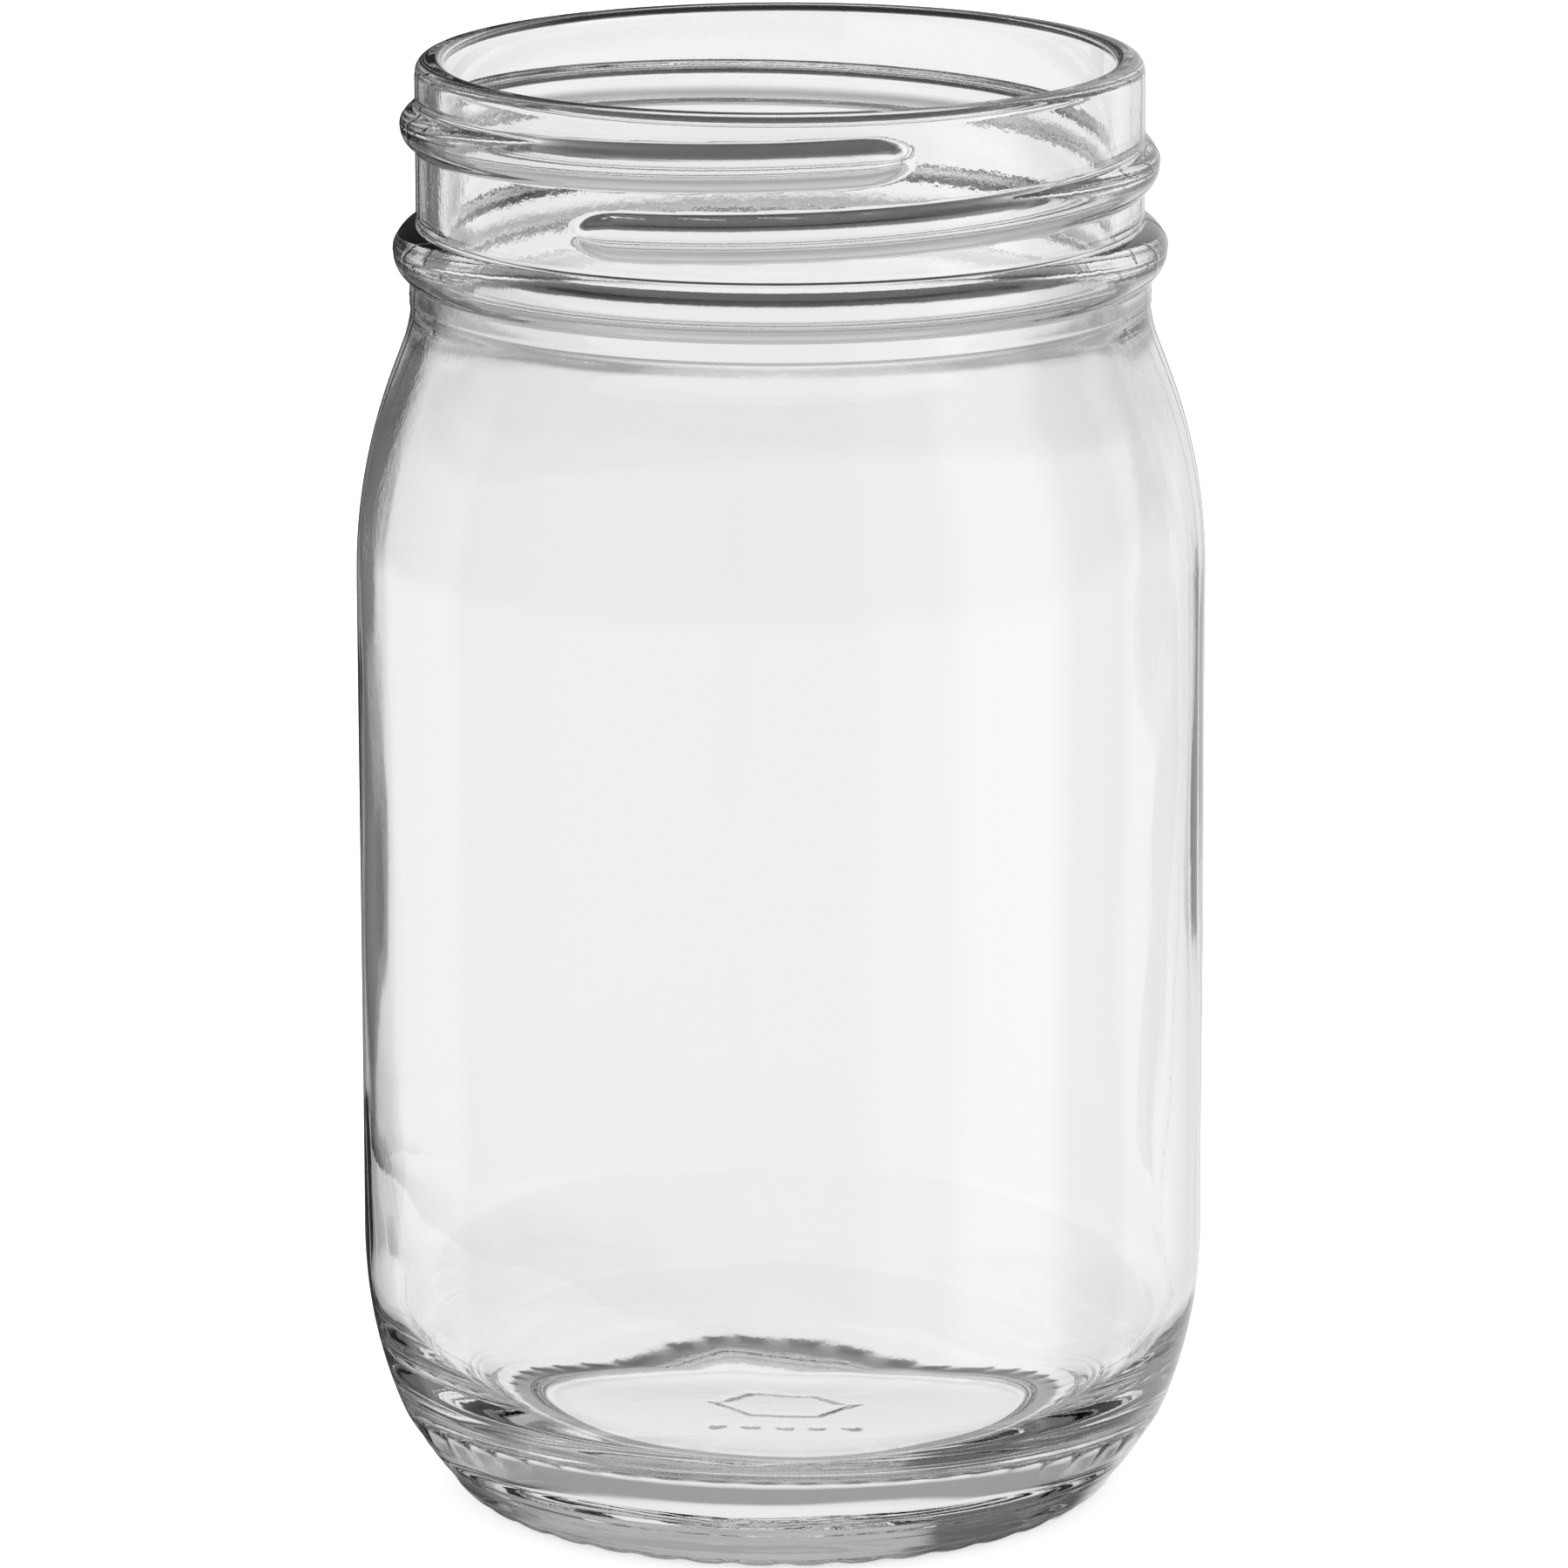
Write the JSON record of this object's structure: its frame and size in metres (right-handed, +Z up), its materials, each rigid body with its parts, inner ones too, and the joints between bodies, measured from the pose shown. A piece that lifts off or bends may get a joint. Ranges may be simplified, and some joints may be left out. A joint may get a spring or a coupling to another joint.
{
  "type": "mason jar",
  "caption": "Clear moulded glass food jar with a right-hand screw finish, rounded transfer bead, sloping shoulder, rounded heel and open mouth.",
  "frame": {"origin": "centre of the bearing ring, on the surface that the jar stands on", "axes": "+Z up along the jar's axis, out of the mouth; +X towards the mould parting line; the thread's two ends lie round the front, which is -Y"},
  "size_m": [0.0788, 0.0788, 0.1353],
  "materials": {
    "clear_glass": "fire-polished clear flint glass"
  },
  "bodies": {
    "root": {"glass_jar": "clear_glass"}
  },
  "joints": []
}
